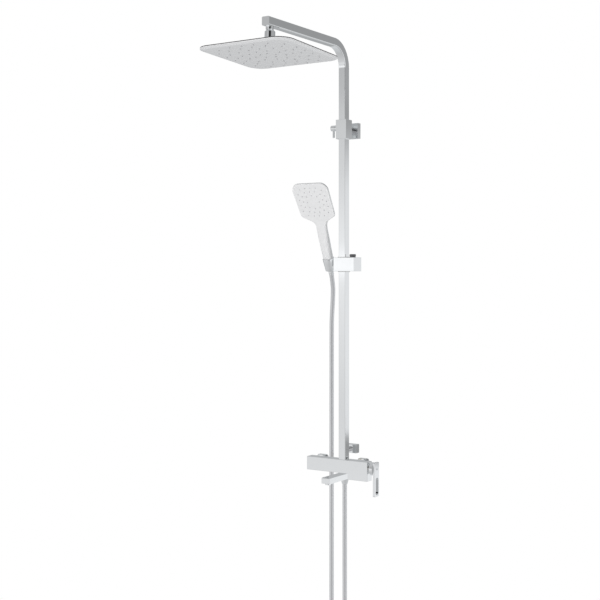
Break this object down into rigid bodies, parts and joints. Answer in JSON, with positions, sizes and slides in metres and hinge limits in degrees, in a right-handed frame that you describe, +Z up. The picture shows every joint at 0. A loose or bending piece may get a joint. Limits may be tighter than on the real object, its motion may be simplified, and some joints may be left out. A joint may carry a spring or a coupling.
{
  "type": "rainfall shower column",
  "caption": "Wall-mounted rainfall shower column: square riser and arm with tilting overhead rose, lever mixer, swivel spout, sliding handset holder, handset and hose.",
  "frame": {"origin": "on the wall plane, midway between the two water inlets, at their height", "axes": "+X right when facing the wall, +Y into the wall, +Z up"},
  "size_m": [0.305, 0.6432, 1.9505],
  "materials": {
    "chrome_plating": "polished",
    "hose_skin": "smooth metallic silver",
    "nozzle_silicone": "matt",
    "white_face": "satin",
    "rubber_seal": "matt",
    "white_plastic": "matt",
    "dark_button": "gloss",
    "cap_plastic": "gloss",
    "steel": "brushed",
    "brass": "turned"
  },
  "bodies": {
    "root": {"arm_end_cap": "chrome_plating", "arm_outlet": "brass", "cartridge": "white_plastic", "cartridge_nut": "chrome_plating", "hose": "hose_skin", "hose_nut_lower": "chrome_plating", "hose_washer_lower": "rubber_seal", "inlet_nut_cold": "chrome_plating", "inlet_nut_hot": "chrome_plating", "inlet_washer_cold": "rubber_seal", "inlet_washer_hot": "rubber_seal", "lower_cover": "chrome_plating", "lower_neck": "steel", "lower_wall_plate": "steel", "mixer_body": "chrome_plating", "outlet_nipple": "chrome_plating", "riser_adapter": "brass", "riser_pipe": "chrome_plating", "rosette_cold": "chrome_plating", "rosette_hot": "chrome_plating", "s_union_cold": "chrome_plating", "s_union_hot": "chrome_plating", "spout_retainer": "steel", "swivel_ball": "chrome_plating", "upper_block": "chrome_plating", "upper_cover": "chrome_plating", "upper_neck": "steel", "upper_wall_plate": "steel"},
    "spout": {"spout": "chrome_plating", "aerator_housing": "chrome_plating", "aerator_insert": "white_plastic"},
    "valve_spindle": {"cartridge_spindle": "brass", "lever_pin": "steel"},
    "lever": {"lever_stem": "brass", "lever_handle": "chrome_plating", "lever_screw": "steel", "lever_cap": "cap_plastic"},
    "clamp": {"clamp_lever": "chrome_plating", "clamp_screw": "steel"},
    "swivel_ring": {"swivel_seat": "white_plastic"},
    "overhead_rose": {"swivel_nut": "chrome_plating", "rose_inlet": "brass", "rose_shell": "chrome_plating", "rose_face": "white_face", "rose_nozzles": "nozzle_silicone", "rose_gasket": "rubber_seal"},
    "slider": {"slider_body": "chrome_plating", "slider_liner": "white_plastic", "button_spring": "steel", "holder_pivot": "steel"},
    "button": {"slider_button": "dark_button"},
    "holder": {"handset_holder": "chrome_plating"},
    "handset": {"handset_shell": "chrome_plating", "handset_face": "white_face", "handset_nozzles": "nozzle_silicone", "handset_gasket": "rubber_seal", "hose_nut_upper": "chrome_plating", "hose_washer_upper": "rubber_seal"}
  },
  "joints": [
    {"name": "spout_swivel", "type": "hinge", "parent": "root", "child": "spout", "pos_m": [0.041, -0.062, -0.029], "axis": [0, 0, 1], "range_deg": [-90, 0]},
    {"name": "temperature", "type": "hinge", "parent": "root", "child": "valve_spindle", "pos_m": [0.134, -0.062, 0], "axis": [1, 0, 0], "range_deg": [-45, 35]},
    {"name": "flow", "type": "hinge", "parent": "valve_spindle", "child": "lever", "pos_m": [0.134, -0.062, 0], "axis": [0, -1, 0], "range_deg": [0, 14]},
    {"name": "clamp_turn", "type": "hinge", "parent": "root", "child": "clamp", "pos_m": [0.005, -0.062, 1.057], "axis": [1, 0, 0], "range_deg": [-90, 90]},
    {"name": "rose_tilt_front", "type": "hinge", "parent": "root", "child": "swivel_ring", "pos_m": [0.038, -0.47, 1.2795], "axis": [1, 0, 0], "range_deg": [-8, 8]},
    {"name": "rose_tilt_side", "type": "hinge", "parent": "swivel_ring", "child": "overhead_rose", "pos_m": [0.038, -0.47, 1.2795], "axis": [0, 1, 0], "range_deg": [-8, 8]},
    {"name": "slider_travel", "type": "slide", "parent": "root", "child": "slider", "axis": [0, 0, 1], "range_m": [-0.45, 0.36], "deforming": ["hose"]},
    {"name": "button_press", "type": "slide", "parent": "slider", "child": "button", "axis": [0, 0, -1], "range_m": [0, 0.003], "stiffness_N_per_m": 900, "springref_m": -0.001, "deforming": ["button_spring"]},
    {"name": "holder_tilt", "type": "hinge", "parent": "slider", "child": "holder", "pos_m": [-0.007, -0.0716, 0.62213], "axis": [1, 0, 0], "range_deg": [-10, 15]},
    {"name": "handset_lift", "type": "slide", "parent": "holder", "child": "handset", "axis": [0, -0.3584, 0.9336], "range_m": [0, 0.024]}
  ]
}
